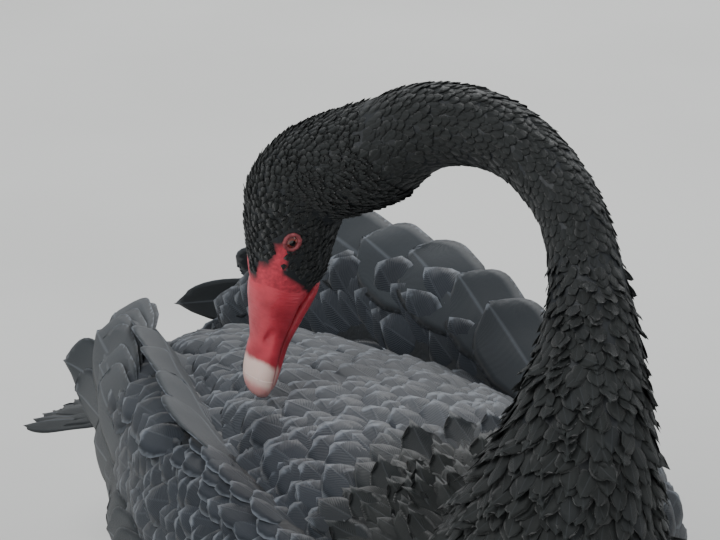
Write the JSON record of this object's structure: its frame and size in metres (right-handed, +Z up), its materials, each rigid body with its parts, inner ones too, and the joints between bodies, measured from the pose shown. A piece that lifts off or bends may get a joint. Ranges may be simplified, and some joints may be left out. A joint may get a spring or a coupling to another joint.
{
  "type": "black swan (Cygnus atratus), adult, still life-size model",
  "caption": "Black swan afloat on its belly, neck arched back and red bill resting in the feathers of its right shoulder, as it preens.",
  "frame": {"origin": "middle of the flat under the belly, on the floor", "axes": "+X towards the breast, +Y to the bird's left, +Z up"},
  "size_m": [0.6767, 0.3036, 0.4176],
  "materials": {
    "body_feathers": "matt slate-grey feathers with paler edges",
    "neck_feathers": "short near-black feathers with a soft sheen",
    "wing_feathers": "smooth dark grey vanes with pale rims",
    "bill_red": "satin horn, orange-red",
    "bill_white": "satin horn, white to pink",
    "eye": "wet, dark red-brown",
    "leg_skin": "scaled dark grey skin"
  },
  "bodies": {
    "root": {"torso": "body_feathers", "neck_lower": "neck_feathers", "neck_middle": "neck_feathers", "neck_upper": "neck_feathers", "head": "neck_feathers", "eye_left": "eye", "eye_right": "eye", "bill_upper": "bill_red", "bill_nail": "bill_white", "bill_lower": "bill_red", "wing_left": "wing_feathers", "wing_right": "wing_feathers", "tail": "wing_feathers", "leg_left": "leg_skin", "leg_right": "leg_skin", "foot_left": "leg_skin", "foot_right": "leg_skin"}
  },
  "joints": []
}
